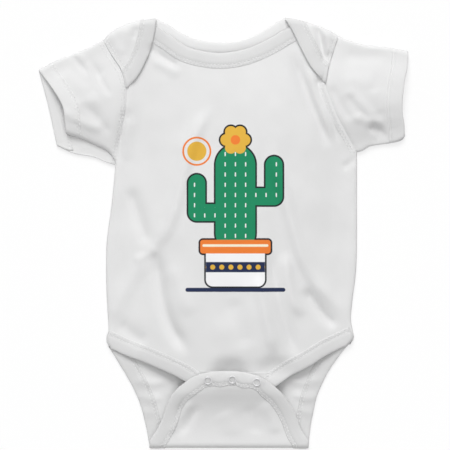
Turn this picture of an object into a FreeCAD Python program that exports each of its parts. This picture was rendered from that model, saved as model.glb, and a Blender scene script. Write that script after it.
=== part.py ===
import FreeCAD, Part
import math
import os

from FreeCAD import Rotation, Vector

# A short-sleeved baby bodysuit with lap shoulders and a snap crotch, laid flat on its back.
# X runs across the chest, Y from the crotch fold to the neck, Z up from the floor.
# The origin is the middle of the garment's box, on the floor.

doc = FreeCAD.newDocument("bodysuit")

# Driving sizes, in millimetres or degrees
sizes = {
    "body_length": 380.0,
    "body_width": 220.0,
    "cloth": 1.2,
    "crown": 20.0,
    "sleeve_crown": 9.0,
    "lay_floor": 0.4,
    "lay_margin": 4.0,
    "binding_width": 13.5,
    "binding_cloth": 2.0,
    "hem_width": 14.0,
    "hem_cloth": 1.7,
    "mouth_reach": 30.0,
    "layer_gap": 0.3,
    "seat_gap": 0.5,
    "fold_gap": 0.6,
    "placket_height": 23.0,
    "snap_width": 7.6,
    "snap_bore": 3.8,
    "stud_width": 3.2,
    "stud_rise": 1.5,
    "stud_plate": 0.6,
    "socket_rise": 1.6,
    "cap_rise": 0.8,
    "barrel_width": 2.4,
    "barrel_bore": 1.4,
    "overrun": 6.0,
    "headroom": 60.0,
}

# Shares of the body's width and length, chosen by hand
left_shoulder_shares = [(-0.273, 0.497), (-0.348, 0.492), (-0.412, 0.479), (-0.452, 0.465),
                        (-0.482, 0.448)]
left_armhole_shares = [(-0.482, 0.448), (-0.448, 0.414), (-0.408, 0.377), (-0.390, 0.337),
                       (-0.394, 0.277), (-0.414, 0.216), (-0.432, 0.158)]
left_side_shares = [(-0.432, 0.158), (-0.448, 0.065), (-0.468, -0.028), (-0.468, -0.133),
                    (-0.464, -0.254)]
front_leg_left_shares = [(-0.464, -0.254), (-0.388, -0.284), (-0.315, -0.299),
                         (-0.247, -0.316), (-0.187, -0.332), (-0.143, -0.347),
                         (-0.115, -0.363), (-0.102, -0.379)]
front_leg_right_shares = [(0.175, -0.384), (0.191, -0.365), (0.223, -0.349), (0.275, -0.328),
                          (0.340, -0.309), (0.400, -0.287), (0.456, -0.270), (0.516, -0.251)]
back_leg_left_shares = [(-0.464, -0.254), (-0.448, -0.275), (-0.412, -0.307),
                        (-0.376, -0.342), (-0.344, -0.379), (-0.323, -0.414),
                        (-0.307, -0.454), (-0.299, -0.479)]
back_leg_right_shares = [(0.341, -0.479), (0.348, -0.444), (0.368, -0.388), (0.392, -0.351),
                         (0.424, -0.316), (0.460, -0.286), (0.492, -0.265), (0.516, -0.251)]
right_side_shares = [(0.516, -0.251), (0.524, -0.156), (0.532, -0.074), (0.534, 0.065),
                     (0.534, 0.188)]
right_armhole_shares = [(0.534, 0.188), (0.488, 0.237), (0.456, 0.272), (0.432, 0.305),
                        (0.410, 0.348), (0.428, 0.400), (0.460, 0.458)]
right_shoulder_shares = [(0.460, 0.458), (0.416, 0.472), (0.352, 0.486), (0.295, 0.496),
                         (0.247, 0.499)]
front_neck_shares = [(0.319, 0.492), (0.251, 0.473), (0.199, 0.455), (0.147, 0.439),
                     (0.074, 0.423), (-0.006, 0.416), (-0.082, 0.420), (-0.151, 0.432),
                     (-0.211, 0.456), (-0.279, 0.482), (-0.323, 0.494)]
back_neck_shares = [(0.247, 0.499), (0.199, 0.483), (0.147, 0.464), (0.078, 0.448),
                    (-0.006, 0.442), (-0.094, 0.447), (-0.163, 0.461), (-0.223, 0.483),
                    (-0.273, 0.497)]
left_lap_shares = [(-0.273, 0.497), (-0.279, 0.468), (-0.295, 0.430), (-0.319, 0.395),
                   (-0.348, 0.365), (-0.390, 0.337)]
right_lap_shares = [(0.247, 0.499), (0.271, 0.479), (0.297, 0.449), (0.325, 0.416),
                    (0.352, 0.388), (0.380, 0.368), (0.410, 0.348)]
flap_edge_shares = [(-0.291, -0.482), (-0.267, -0.461), (-0.243, -0.433), (-0.223, -0.398),
                    (-0.195, -0.370), (-0.155, -0.349), (-0.111, -0.333), (-0.062, -0.325),
                    (-0.006, -0.322), (0.066, -0.323), (0.131, -0.332), (0.179, -0.347),
                    (0.227, -0.370), (0.263, -0.398), (0.291, -0.430), (0.311, -0.461),
                    (0.336, -0.482)]
left_sleeve_top_shares = [(-0.482, 0.448), (-0.548, 0.428), (-0.613, 0.413),
                          (-0.679, 0.398), (-0.741, 0.379)]
left_front_mouth_shares = [(-0.741, 0.379), (-0.679, 0.331), (-0.642, 0.293),
                           (-0.629, 0.251), (-0.601, 0.186)]
left_back_mouth_shares = [(-0.741, 0.379), (-0.704, 0.300), (-0.679, 0.235), (-0.667, 0.203)]
left_under_shares = [(-0.667, 0.203), (-0.601, 0.186), (-0.520, 0.177), (-0.474, 0.166),
                     (-0.432, 0.158)]
right_sleeve_top_shares = [(0.460, 0.458), (0.492, 0.449), (0.555, 0.438), (0.617, 0.433),
                           (0.669, 0.430), (0.740, 0.422)]
right_mouth_shares = [(0.740, 0.422), (0.737, 0.386), (0.725, 0.354), (0.717, 0.316),
                      (0.717, 0.281), (0.724, 0.253), (0.727, 0.226)]
right_under_shares = [(0.727, 0.226), (0.714, 0.216), (0.673, 0.210), (0.593, 0.203),
                      (0.561, 0.193), (0.534, 0.188)]
snap_place_shares = [(-0.062, -0.341), (0.035, -0.339), (0.133, -0.345)]

# Where the body's sides lie, and where each sleeve's middle and edge lie, as shares
side_rows_share = [-0.28, 0.0, 0.158]
left_rows_share = [-0.464, -0.468, -0.432]
right_rows_share = [0.516, 0.532, 0.534]
left_sleeve_lay_shares = [(-0.4545, 0.304, 0.143), (-0.7045, 0.295, 0.092)]
right_sleeve_lay_shares = [(0.491, 0.3105, 0.137), (0.741, 0.320, 0.1026)]
sleeve_start_share = 0.27
sleeve_blend_share = 0.14
lay_reach_shares = (0.80, 0.52)

# The lay's shape: how square its ends are, how round its sides are, and its grid
end_power = 3
side_power = 1.5
merge_power = 3
lay_columns = 23
lay_rows = 25
fold_probe_share = 0.75
half_turn = 180.0
quarter_turn = 90.0

sheet = doc.addObject("Spreadsheet::Sheet", "Sizes")
for row, (name, value) in enumerate(sizes.items(), start=1):
    sheet.set(f"A{row}", name)
    sheet.set(f"B{row}", str(value))
    sheet.setAlias(f"B{row}", name)
doc.recompute()


def size(name):
    return sheet.get(name)


def place(shares):
    """A point of an outline from its shares of the body's width and length."""
    return Vector(shares[0] * size("body_width"), shares[1] * size("body_length"), 0)


def between(value, places, heights):
    """Straight interpolation along a short table, held level past its ends."""
    if value <= places[0]:
        return heights[0]
    for low, high, start, end in zip(places, places[1:], heights, heights[1:]):
        if value <= high:
            return start + (end - start) * (value - low) / (high - low)
    return heights[-1]


def bump(offset, half):
    """A round hump across a width: full in the middle, nothing at the edge."""
    return max(0, 1 - (offset / half) ** 2) ** side_power


def body_rise(x, y):
    row = y / size("body_length")
    left = between(row, side_rows_share, left_rows_share) * size("body_width")
    right = between(row, side_rows_share, right_rows_share) * size("body_width")
    half = (right - left) / 2 + size("lay_margin")
    along = max(0, 1 - abs(2 * row) ** end_power)
    return size("crown") * along * bump(x - (left + right) / 2, half)


def sleeve_rise(x, y, lay_shares):
    """The hump of one sleeve, whose middle and half width run straight from arm to hem."""
    columns = [abs(lay[0]) for lay in lay_shares]
    column = x / size("body_width") * math.copysign(1, lay_shares[0][0])
    centre = between(column, columns, [lay[1] for lay in lay_shares]) * size("body_length")
    half = between(column, columns, [lay[2] for lay in lay_shares]) * size("body_length")
    grown = min(1, max(0, (column - sleeve_start_share) / sleeve_blend_share))
    return size("sleeve_crown") * grown * bump(y - centre, half + size("lay_margin"))


def lay_height(x, y):
    """Height of the underside of the front cloth above the floor."""
    humps = [body_rise(x, y), sleeve_rise(x, y, left_sleeve_lay_shares),
             sleeve_rise(x, y, right_sleeve_lay_shares)]
    return size("lay_floor") + sum(hump ** merge_power for hump in humps) ** (1 / merge_power)


def lay_surface():
    """One smooth surface under the whole front, from which every upper layer is cut."""
    reach_x = lay_reach_shares[0] * size("body_width")
    reach_y = lay_reach_shares[1] * size("body_length")
    grid = []
    for column in range(lay_columns):
        x = reach_x * (2 * column / (lay_columns - 1) - 1)
        rows = [reach_y * (2 * row / (lay_rows - 1) - 1) for row in range(lay_rows)]
        grid.append([Vector(x, y, lay_height(x, y)) for y in rows])
    surface = Part.BSplineSurface()
    surface.interpolate(grid)
    feature = doc.addObject("Part::Feature", "lay_surface")
    feature.Shape = surface.toShape()
    return feature


def slab(name, low, high):
    """A layer that follows the lay, between two heights above it, as expressions."""
    layer = doc.addObject("Part::Extrusion", name)
    layer.Base = lay
    layer.DirMode = "Custom"
    layer.Dir = Vector(0, 0, 1)
    layer.Solid = True
    layer.setExpression("LengthFwd", high)
    layer.setExpression("LengthRev", f"-({low})")
    return layer


def curve(points):
    if len(points) == 2:
        return Part.LineSegment(points[0], points[1])
    line = Part.BSplineCurve()
    line.interpolate(points)
    return line


def chain(shares):
    return [place(pair) for pair in shares]


def outline(name, chains):
    """A sketch of one closed outline, from curves that meet end to end."""
    sketch = doc.addObject("Sketcher::SketchObject", name)
    for points in chains:
        sketch.addGeometry(curve(points))
    return sketch


def prism(name, chains, low, high):
    """An outline drawn up between two heights, as expressions."""
    block = doc.addObject("Part::Extrusion", name)
    block.Base = outline(f"{name}_outline", chains)
    block.DirMode = "Custom"
    block.Dir = Vector(0, 0, 1)
    block.Solid = True
    block.setExpression("LengthFwd", high)
    block.setExpression("LengthRev", f"-({low})")
    return block


def closed(chains):
    """Adds the straight edges that join the ends of a row of chains into a loop."""
    loop = []
    for points, following in zip(chains, chains[1:] + chains[:1]):
        loop.append(points)
        if points[-1].distanceToPoint(following[0]) > 0:
            loop.append([points[-1], following[0]])
    return loop


def strip_chains(points, inward, outward):
    """The two sides of a strip along an edge: inward is to the left of its run."""
    edge = curve(points)
    across = []
    for point in points:
        tangent = edge.tangent(edge.parameter(point))[0]
        across.append(Vector(-tangent.y, tangent.x, 0))
    ends = [points[0] + Vector(-across[0].y, across[0].x, 0) * outward,
            points[-1] - Vector(-across[-1].y, across[-1].x, 0) * outward]
    stretched = [ends[0]] + points + [ends[1]]
    across = across[:1] + across + across[-1:]
    inner = [point + side * inward for point, side in zip(stretched, across)]
    outer = [point - side * outward for point, side in zip(stretched, across)]
    return closed([inner, outer[::-1]])


def strip(name, shares, width, low="0", high="Sizes.headroom", reverse=False):
    points = chain(shares)
    if reverse:
        points = points[::-1]
    return prism(name, strip_chains(points, size(width), size("overrun")), low, high)


def common(name, *shapes):
    piece = doc.addObject("Part::MultiCommon", name)
    piece.Shapes = list(shapes)
    return piece


def fused(name, *shapes):
    piece = doc.addObject("Part::MultiFuse", name)
    piece.Shapes = list(shapes)
    return piece


def cut(name, base, *tools):
    piece = doc.addObject("Part::Cut", name)
    piece.Base = base
    piece.Tool = tools[0] if len(tools) == 1 else fused(f"{name}_tools", *tools)
    return piece


nodes = []


def node(piece, label):
    piece.Label = label
    nodes.append(piece)
    return piece


# Heights of the layers above the lay, as expressions of the sheet's sizes
lap_low = "Sizes.binding_cloth + Sizes.layer_gap"
lap_high = f"{lap_low} + Sizes.cloth"
lap_binding_high = f"{lap_low} + Sizes.binding_cloth"
snap_stack = "2 * Sizes.seat_gap + Sizes.layer_gap + Sizes.stud_plate + Sizes.socket_rise"
flap_low = f"Sizes.binding_cloth + {snap_stack}"
flap_high = f"{flap_low} + Sizes.cloth"
flap_binding_high = f"{flap_low} + Sizes.binding_cloth"

lay = lay_surface()
cloth_slab = slab("cloth_slab", "0", "Sizes.cloth")
binding_slab = slab("binding_slab", "0", "Sizes.binding_cloth")
hem_slab = slab("hem_slab", "0", "Sizes.hem_cloth")
lap_slab = slab("lap_slab", lap_low, lap_high)
lap_binding_slab = slab("lap_binding_slab", lap_low, lap_binding_high)
shoulder_slab = slab("shoulder_slab", "-Sizes.crown", lap_high)
flap_slab = slab("flap_slab", flap_low, flap_high)
flap_binding_slab = slab("flap_binding_slab", flap_low, flap_binding_high)

# The crotch fold: a half-round roll whose middle is the hinge of the flap
flap_lift = size("binding_cloth") + 2 * size("seat_gap") + size("layer_gap")
flap_lift += size("stud_plate") + size("socket_rise")
fold_ends = [flap_edge_shares[0][0], flap_edge_shares[-1][0]]
fold_column = fold_ends[0] + (fold_ends[1] - fold_ends[0]) * fold_probe_share
fold_probe = place((fold_column, -1 / 2)) + Vector(0, flap_lift, 0)
fold_radius = (lay_height(fold_probe.x, fold_probe.y) + flap_lift + size("cloth")) / 2
fold_y = fold_radius - size("body_length") / 2

# Whole outlines of the front and the back
left_armhole = chain(left_armhole_shares)
right_armhole = chain(right_armhole_shares)
left_side = chain(left_side_shares)
right_side = chain(right_side_shares)
left_shoulder = chain(left_shoulder_shares)
right_shoulder = chain(right_shoulder_shares)
front_chains = closed([left_shoulder[1:], left_armhole, left_side,
                       chain(front_leg_left_shares), chain(front_leg_right_shares),
                       right_side, right_armhole, right_shoulder[:3],
                       chain(front_neck_shares)])
back_end = fold_y + fold_radius + size("fold_gap")
back_leg_left = chain(back_leg_left_shares)
back_leg_right = chain(back_leg_right_shares)
back_leg_left[-1].y = back_end
back_leg_right[0].y = back_end
back_chains = closed([left_shoulder, left_armhole, left_side, back_leg_left, back_leg_right,
                      right_side, right_armhole, right_shoulder, chain(back_neck_shares)])
front_block = prism("front_block", front_chains, "Sizes.cloth", "Sizes.headroom")
back_block = prism("back_block", back_chains, "0", "Sizes.cloth")
over_block = prism("over_block", back_chains, "Sizes.cloth", "Sizes.headroom")

# Strips along the edges, for the bindings, the laps' folds and the placket
neck_strip = strip("neck_strip", front_neck_shares, "binding_width")
back_neck_strip = strip("back_neck_strip", back_neck_shares, "binding_width")
left_leg_strip = strip("left_leg_strip", front_leg_left_shares, "binding_width")
right_leg_strip = strip("right_leg_strip", front_leg_right_shares, "binding_width")
left_back_leg_strip = strip("left_back_leg_strip", back_leg_left_shares, "binding_width")
right_back_leg_strip = strip("right_back_leg_strip", back_leg_right_shares, "binding_width")
left_lap_strip = strip("left_lap_strip", left_lap_shares, "binding_width", reverse=True)
right_lap_strip = strip("right_lap_strip", right_lap_shares, "binding_width")
flap_strip = strip("flap_strip", flap_edge_shares, "binding_width", reverse=True)
left_fold_strip = strip("left_fold_strip", left_shoulder_shares, "cloth", "Sizes.cloth")
right_fold_strip = strip("right_fold_strip", right_shoulder_shares, "cloth", "Sizes.cloth")
lap_clear = size("cloth") + size("layer_gap")


def clear_strip(name, points):
    return prism(name, strip_chains(points, lap_clear, size("overrun")), "0",
                 "Sizes.headroom")


left_clear_strip = clear_strip("left_clear_strip", left_shoulder)
right_clear_strip = clear_strip("right_clear_strip", right_shoulder)

tab_left = chain(front_leg_left_shares)[-1]
tab_right = chain(front_leg_right_shares)[0]
placket_top = Vector(0, size("placket_height"), 0)
placket_out = Vector(0, size("overrun"), 0)
placket_block = prism("placket_block", closed([[tab_left - placket_out, tab_right - placket_out],
                                               [tab_right + placket_top,
                                                tab_left + placket_top]]),
                      "0", "Sizes.headroom")

# Snaps: each stands square to the cloth, tilted the way the flap lifts
def snap_point(shares):
    point = place(shares)
    point.z = lay_height(point.x, point.y) + size("binding_cloth")
    return point


def snap_tilt():
    point = snap_point(snap_place_shares[1])
    ahead = Vector(point.x, point.y + size("snap_width"), 0)
    slope = (lay_height(ahead.x, ahead.y) + size("binding_cloth") - point.z)
    slope = math.atan2(slope, size("snap_width"))
    swing = math.atan2(point.z + size("stud_rise") - fold_radius, point.y - fold_y)
    return math.degrees(slope + swing) / 2


tilt = snap_tilt()


def stand(piece, shares):
    piece.Placement = FreeCAD.Placement(snap_point(shares), Rotation(Vector(1, 0, 0), tilt))


def turned(name, profile, shares):
    """A body of revolution about its own Z, from a profile of radius and height pairs."""
    body = doc.addObject("PartDesign::Body", name)
    sketch = body.newObject("Sketcher::SketchObject", f"{name}_profile")
    plane = next(item for item in body.Origin.OriginFeatures if item.Role == "XZ_Plane")
    sketch.AttachmentSupport = [(plane, "")]
    sketch.MapMode = "FlatFace"
    corners = [Vector(radius, height, 0) for radius, height in profile]
    for start, end in zip(corners, corners[1:] + corners[:1]):
        sketch.addGeometry(Part.LineSegment(start, end))
    lathe = body.newObject("PartDesign::Revolution", f"{name}_turning")
    lathe.Profile = sketch
    lathe.ReferenceAxis = (sketch, ["V_Axis"])
    stand(body, shares)
    return body


snap_radius = size("snap_width") / 2
bore_radius = size("snap_bore") / 2
stud_radius = size("stud_width") / 2
barrel_radius = size("barrel_width") / 2
barrel_hole = size("barrel_bore") / 2
binding_cloth = size("binding_cloth")
seat = size("seat_gap")
plate_top = seat + size("stud_plate")
stud_top = plate_top + size("stud_rise")
socket_low = plate_top + size("layer_gap")
socket_top = socket_low + size("socket_rise")
socket_roof = stud_top + size("layer_gap") / 2
cap_low = socket_top + binding_cloth + 2 * seat
cap_top = cap_low + size("cap_rise")
backing_top = -binding_cloth - seat
backing_low = backing_top - size("stud_plate")

# The stud is riveted through the placket to its backing; the socket to the ring above
stud_profile = [(0, backing_low), (snap_radius, backing_low), (snap_radius, backing_top),
                (barrel_radius, backing_top), (barrel_radius, seat), (snap_radius, seat),
                (snap_radius, plate_top), (stud_radius, plate_top), (stud_radius, stud_top),
                (0, stud_top)]
socket_profile = [(bore_radius, socket_low), (snap_radius, socket_low),
                  (snap_radius, socket_top), (barrel_radius, socket_top),
                  (barrel_radius, cap_low), (snap_radius, cap_low), (snap_radius, cap_top),
                  (bore_radius, cap_top), (barrel_hole, cap_low),
                  (barrel_hole, socket_roof), (bore_radius, socket_roof)]


def pierce(name, low, high):
    """The holes that the snaps' barrels pass through, in one layer of cloth."""
    holes = []
    for index, shares in enumerate(snap_place_shares, start=1):
        hole = doc.addObject("Part::Cylinder", f"{name}_{index}")
        hole.setExpression("Radius", "Sizes.barrel_width / 2 + Sizes.layer_gap")
        hole.Height = high - low
        base = snap_point(shares)
        turn = Rotation(Vector(1, 0, 0), tilt)
        hole.Placement = FreeCAD.Placement(base + turn.multVec(Vector(0, 0, low)), turn)
        holes.append(hole)
    return fused(name, *holes)


# Body: the front, its neck and leg bindings and the placket
placket_holes = pierce("placket_holes", backing_low, plate_top)
placket = common("placket_cloth", binding_slab, front_block, placket_block)
node(cut("front_placket", placket, placket_holes), "front_placket")
node(cut("front_panel", common("front_cloth", cloth_slab, front_block), neck_strip,
         left_leg_strip, right_leg_strip, placket_block, left_clear_strip,
         right_clear_strip), "front_panel")
neck_cloth = common("neck_cloth", binding_slab, front_block, neck_strip)
node(cut("front_neck_binding", neck_cloth, left_clear_strip, right_clear_strip),
     "front_neck_binding")

# The back, flat on the floor, with the back neck binding
back_cloth = cut("back_panel", back_block, back_neck_strip, left_back_leg_strip,
                 right_back_leg_strip)
node(back_cloth, "back_panel")
node(common("back_neck_binding", back_block, back_neck_strip), "back_neck_binding")


def leg_binding(side, front_strip, back_strip):
    """One band round a leg: over the front's edge, and under it along the back's."""
    front = cut(f"{side}_front_band", common(f"{side}_front_leg", binding_slab, front_block,
                                             front_strip), placket_block)
    back = common(f"{side}_back_band", back_block, back_strip)
    node(fused(f"leg_binding_{side}", front, back), f"leg_binding_{side}")


leg_binding("left", left_leg_strip, left_back_leg_strip)
leg_binding("right", right_leg_strip, right_back_leg_strip)


def lap(side, lap_shares, edge_strip, fold_strip):
    """The back's shoulder, folded over the front, with its bound edge."""
    edge = chain(lap_shares)
    outside = Vector(math.copysign(size("body_width"), edge[0].x), 0, 0)
    lift = Vector(0, size("overrun"), 0)
    blade = prism(f"lap_blade_{side}", closed([edge, [edge[-1], edge[-1] + outside],
                                               [edge[-1] + outside,
                                                edge[0] + outside + lift],
                                               [edge[0] + outside + lift, edge[0] + lift]]),
                  "Sizes.cloth", "Sizes.headroom")
    top = cut(f"lap_top_{side}", common(f"lap_cloth_{side}", lap_slab, over_block, blade),
              edge_strip)
    fold = common(f"lap_fold_{side}", shoulder_slab, over_block, blade, fold_strip)
    node(fused(f"shoulder_lap_{side}", top, fold), f"shoulder_lap_{side}")
    band = common(f"lap_band_{side}", lap_binding_slab, over_block, blade, edge_strip)
    node(cut(f"lap_binding_{side}", band, fold_strip), f"lap_binding_{side}")


lap("left", left_lap_shares, left_lap_strip, left_fold_strip)
lap("right", right_lap_shares, right_lap_strip, right_fold_strip)


def sleeve(side, armhole, top_shares, front_mouth, back_mouth, under_shares, reverse):
    """A flattened tube, open at its mouth, with a hem turned up along the mouth."""
    arm = armhole if reverse else armhole[::-1]
    whole = closed([chain(top_shares), chain(back_mouth), chain(under_shares), arm])
    upper = prism(f"sleeve_upper_{side}", whole, "Sizes.cloth", "Sizes.headroom")
    lower = prism(f"sleeve_lower_{side}", whole, "0", "Sizes.cloth")
    back_band = strip(f"hem_back_{side}", back_mouth, "hem_width", reverse=reverse)
    front_band = back_band
    if front_mouth is not back_mouth:
        front_band = strip(f"hem_front_{side}", front_mouth, "hem_width", reverse=reverse)
        beyond = prism(f"mouth_cut_{side}",
                       strip_chains(chain(front_mouth), 0, size("mouth_reach")), "0",
                       "Sizes.headroom")
        upper = cut(f"sleeve_front_{side}", upper, beyond)
    upper_cloth = cut(f"sleeve_top_{side}", common(f"sleeve_over_{side}", cloth_slab, upper),
                      front_band)
    lower_cloth = cut(f"sleeve_base_{side}", lower, back_band)
    node(fused(f"sleeve_{side}", upper_cloth, lower_cloth), f"sleeve_{side}")
    upper_hem = common(f"hem_top_{side}", hem_slab, upper, front_band)
    lower_hem = common(f"hem_base_{side}", lower, back_band)
    node(fused(f"sleeve_hem_{side}", upper_hem, lower_hem), f"sleeve_hem_{side}")


sleeve("left", left_armhole, left_sleeve_top_shares, left_front_mouth_shares,
       left_back_mouth_shares, left_under_shares, False)
sleeve("right", right_armhole, right_sleeve_top_shares, right_mouth_shares,
       right_mouth_shares, right_under_shares, True)

# The flap: its cloth, the roll that it turns on, and its bound edge
flap_edge = chain(flap_edge_shares)
flap_left = Vector(flap_edge[0].x, fold_y, 0)
flap_right = Vector(flap_edge[-1].x, fold_y, 0)
flap_block = prism("flap_block", closed([flap_edge, [flap_right, flap_left]]), "0",
                   "Sizes.headroom")


def half_tube(name, radius):
    tube = doc.addObject("Part::Cylinder", name)
    tube.Radius = radius
    tube.Height = flap_right.x - flap_left.x
    tube.Angle = half_turn
    turn = Rotation(Vector(0, 1, 0), quarter_turn).multiply(Rotation(Vector(0, 0, 1),
                                                                     half_turn))
    tube.Placement = FreeCAD.Placement(Vector(flap_left.x, fold_y, fold_radius), turn)
    return tube


roll = cut("flap_roll", half_tube("roll_outside", fold_radius),
           half_tube("roll_inside", fold_radius - size("cloth")))
flap_cloth = cut("flap_cloth", common("flap_sheet", flap_slab, flap_block), flap_strip)
node(fused("crotch_flap", flap_cloth, roll), "crotch_flap")
flap_holes = pierce("flap_holes", socket_top, cap_low)
flap_band = common("flap_band", flap_binding_slab, flap_block, flap_strip)
node(cut("flap_binding", flap_band, flap_holes), "flap_binding")

for number, shares in enumerate(snap_place_shares, start=1):
    node(turned(f"snap_stud_{number}", stud_profile, shares), f"snap_stud_{number}")
    node(turned(f"snap_socket_{number}", socket_profile, shares), f"snap_socket_{number}")

doc.recompute()
for item in doc.Objects:
    if "Invalid" in item.State or "Error" in item.State:
        raise RuntimeError(f"{item.Name} failed: {item.State}")
for piece in nodes:
    if piece.Shape.isNull() or not piece.Shape.isValid() or not piece.Shape.Solids:
        raise RuntimeError(f"{piece.Label} has no sound shape")

os.makedirs("parts", exist_ok=True)
for piece in nodes:
    piece.Shape.exportStep(os.path.join("parts", f"{piece.Label}.step"))
    box = piece.Shape.BoundBox
    print(f"{piece.Label}: {len(piece.Shape.Solids)} solid, {piece.Shape.Volume:.0f} mm3, "
          f"z {box.ZMin:.2f} to {box.ZMax:.2f}")
print(f"flap hinge at y {fold_y:.3f}, z {fold_radius:.3f}, snap tilt {tilt:.2f}")
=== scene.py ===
import math

import bpy
import numpy as np
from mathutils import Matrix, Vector, geometry, noise


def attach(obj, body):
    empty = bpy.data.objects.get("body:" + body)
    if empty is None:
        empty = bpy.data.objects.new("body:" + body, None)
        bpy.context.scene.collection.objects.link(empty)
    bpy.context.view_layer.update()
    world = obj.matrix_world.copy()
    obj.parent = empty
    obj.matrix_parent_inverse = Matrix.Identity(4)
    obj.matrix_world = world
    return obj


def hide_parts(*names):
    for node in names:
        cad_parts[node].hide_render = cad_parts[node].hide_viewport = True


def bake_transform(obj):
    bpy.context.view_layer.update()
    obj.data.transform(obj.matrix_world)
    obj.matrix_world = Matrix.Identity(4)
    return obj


# A short-sleeved baby bodysuit laid flat on its back, seen from straight above.
# Lengths in this file are millimetres in the row frame, turned to metres in make_piece.

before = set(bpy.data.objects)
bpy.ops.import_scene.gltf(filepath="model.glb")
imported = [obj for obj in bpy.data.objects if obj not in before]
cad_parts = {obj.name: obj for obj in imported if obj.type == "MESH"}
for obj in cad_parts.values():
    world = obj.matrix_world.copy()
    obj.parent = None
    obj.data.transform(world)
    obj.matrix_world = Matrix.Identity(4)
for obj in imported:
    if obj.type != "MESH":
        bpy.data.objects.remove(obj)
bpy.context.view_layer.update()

MM = 0.001
WIDTH = 220.0
LENGTH = 380.0

# Outlines as shares of the body's width and length, as in the part's source, but for the
# two side corners, where the bound edge swells out a little
left_shoulder_shares = [(-0.273, 0.497), (-0.348, 0.492), (-0.412, 0.479), (-0.452, 0.465),
                        (-0.482, 0.448)]
left_armhole_shares = [(-0.482, 0.448), (-0.448, 0.414), (-0.408, 0.377), (-0.390, 0.337),
                       (-0.394, 0.277), (-0.414, 0.216), (-0.432, 0.158)]
left_side_shares = [(-0.432, 0.158), (-0.448, 0.065), (-0.468, -0.028), (-0.468, -0.133),
                    (-0.460, -0.222), (-0.467, -0.237), (-0.468, -0.253),
                    (-0.455, -0.2665)]
front_leg_left_shares = [(-0.455, -0.2665), (-0.388, -0.284), (-0.315, -0.299),
                         (-0.247, -0.316), (-0.187, -0.332), (-0.143, -0.347),
                         (-0.115, -0.363), (-0.102, -0.379)]
front_leg_right_shares = [(0.175, -0.384), (0.191, -0.365), (0.223, -0.349), (0.275, -0.328),
                          (0.340, -0.309), (0.400, -0.287), (0.456, -0.270), (0.500, -0.2585)]
back_leg_left_shares = [(-0.455, -0.2665), (-0.412, -0.307),
                        (-0.376, -0.342), (-0.344, -0.379), (-0.323, -0.414),
                        (-0.307, -0.454), (-0.299, -0.479)]
back_leg_right_shares = [(0.341, -0.479), (0.348, -0.444), (0.368, -0.388), (0.392, -0.351),
                         (0.424, -0.316), (0.460, -0.286), (0.500, -0.2585)]
right_side_shares = [(0.500, -0.2585), (0.517, -0.251), (0.523, -0.239), (0.517, -0.225),
                     (0.510, -0.197), (0.517, -0.152), (0.532, -0.074), (0.534, 0.065),
                     (0.534, 0.188)]
right_armhole_shares = [(0.534, 0.188), (0.488, 0.237), (0.456, 0.272), (0.432, 0.305),
                        (0.410, 0.348), (0.428, 0.400), (0.460, 0.458)]
right_shoulder_shares = [(0.460, 0.458), (0.416, 0.472), (0.352, 0.486), (0.295, 0.496),
                         (0.247, 0.499)]
front_neck_shares = [(0.319, 0.492), (0.251, 0.473), (0.199, 0.455), (0.147, 0.439),
                     (0.074, 0.423), (-0.006, 0.416), (-0.082, 0.420), (-0.151, 0.432),
                     (-0.211, 0.456), (-0.279, 0.482), (-0.323, 0.494)]
back_neck_shares = [(0.247, 0.499), (0.199, 0.483), (0.147, 0.464), (0.078, 0.448),
                    (-0.006, 0.442), (-0.094, 0.447), (-0.163, 0.461), (-0.223, 0.483),
                    (-0.273, 0.497)]
left_lap_shares = [(-0.273, 0.497), (-0.279, 0.468), (-0.295, 0.430), (-0.319, 0.395),
                   (-0.348, 0.365), (-0.390, 0.337)]
right_lap_shares = [(0.247, 0.499), (0.271, 0.479), (0.297, 0.449), (0.325, 0.416),
                    (0.352, 0.388), (0.380, 0.368), (0.410, 0.348)]
flap_edge_shares = [(-0.291, -0.482), (-0.267, -0.461), (-0.243, -0.433), (-0.223, -0.398),
                    (-0.195, -0.370), (-0.155, -0.349), (-0.111, -0.333), (-0.062, -0.325),
                    (-0.006, -0.322), (0.066, -0.323), (0.131, -0.332), (0.179, -0.347),
                    (0.227, -0.370), (0.263, -0.398), (0.291, -0.430), (0.311, -0.461),
                    (0.336, -0.482)]
left_sleeve_top_shares = [(-0.482, 0.448), (-0.548, 0.428), (-0.613, 0.413),
                          (-0.679, 0.398), (-0.741, 0.379)]
left_front_mouth_shares = [(-0.741, 0.379), (-0.679, 0.331), (-0.642, 0.293),
                           (-0.634, 0.258), (-0.629, 0.230)]
left_front_under_shares = [(-0.629, 0.230), (-0.573, 0.220), (-0.524, 0.208),
                           (-0.466, 0.191), (-0.433, 0.168)]
left_back_mouth_shares = [(-0.741, 0.379), (-0.704, 0.300), (-0.679, 0.235), (-0.667, 0.203)]
left_under_shares = [(-0.667, 0.203), (-0.601, 0.186), (-0.520, 0.177), (-0.474, 0.166),
                     (-0.432, 0.158)]
right_sleeve_top_shares = [(0.460, 0.458), (0.492, 0.449), (0.555, 0.438), (0.617, 0.433),
                           (0.669, 0.430), (0.740, 0.422)]
right_mouth_shares = [(0.740, 0.422), (0.737, 0.386), (0.725, 0.354), (0.717, 0.316),
                      (0.717, 0.281), (0.724, 0.253), (0.727, 0.226)]
right_under_shares = [(0.727, 0.226), (0.714, 0.216), (0.673, 0.210), (0.593, 0.203),
                      (0.561, 0.193), (0.534, 0.188)]
snap_shares = [(-0.062, -0.341), (0.035, -0.339), (0.133, -0.345)]

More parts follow.
